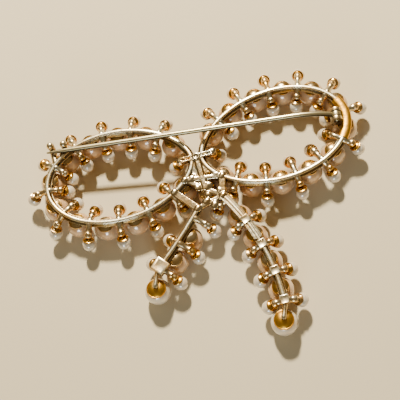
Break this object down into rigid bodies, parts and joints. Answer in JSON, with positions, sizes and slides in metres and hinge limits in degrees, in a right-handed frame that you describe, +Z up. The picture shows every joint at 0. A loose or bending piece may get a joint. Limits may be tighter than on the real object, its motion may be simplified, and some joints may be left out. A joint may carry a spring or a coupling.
{
  "type": "bow brooch",
  "caption": "Bow-shaped brooch with looped and tailed metal frame set with pearls, fastened by a hinged pin that tucks behind a pronged catch.",
  "frame": {"origin": "on the surface that the pearls lie on, under the middle of the brooch's box", "axes": "+X along the bow towards the hinge, +Y towards the loops' upper edge, +Z up out of the brooch's back, where the pin is"},
  "size_m": [0.0792, 0.06, 0.0104],
  "materials": {
    "frame_metal": "polished",
    "pin_metal": "polished",
    "pearl": "pearl lustre"
  },
  "bodies": {
    "brooch": {"frame": "frame_metal", "hinge_rivet": "pin_metal", "small_pearls_left_loop": "pearl", "small_pearls_right_loop": "pearl", "small_pearls_left_tail": "pearl", "small_pearls_right_tail": "pearl", "small_pearls_tie": "pearl", "left_loop_pearl_1": "pearl", "left_loop_pearl_2": "pearl", "left_loop_pearl_3": "pearl", "left_loop_pearl_4": "pearl", "left_loop_pearl_5": "pearl", "left_loop_pearl_6": "pearl", "left_loop_pearl_7": "pearl", "left_loop_pearl_8": "pearl", "left_loop_pearl_9": "pearl", "left_loop_pearl_10": "pearl", "left_loop_pearl_11": "pearl", "left_loop_pearl_12": "pearl", "left_tail_pearl_1": "pearl", "left_tail_pearl_2": "pearl", "left_end_pearl": "pearl", "right_loop_pearl_1": "pearl", "right_loop_pearl_2": "pearl", "right_loop_pearl_3": "pearl", "right_loop_pearl_4": "pearl", "right_loop_pearl_5": "pearl", "right_loop_pearl_6": "pearl", "right_loop_pearl_7": "pearl", "right_loop_pearl_8": "pearl", "right_loop_pearl_9": "pearl", "right_loop_pearl_10": "pearl", "right_loop_pearl_11": "pearl", "right_loop_pearl_12": "pearl", "right_tail_pearl_1": "pearl", "right_tail_pearl_2": "pearl", "right_tail_pearl_3": "pearl", "right_tail_pearl_4": "pearl", "right_end_pearl": "pearl", "upper_knot_pearl": "pearl", "lower_knot_pearl": "pearl"},
    "pin": {"pin_stem": "pin_metal"}
  },
  "joints": [
    {"name": "pin_swing", "type": "hinge", "parent": "brooch", "child": "pin", "pos_m": [0.0318, 0.01271, 0.0078], "axis": [0.1637, 0.9865, 0], "range_deg": [0, 95]}
  ]
}
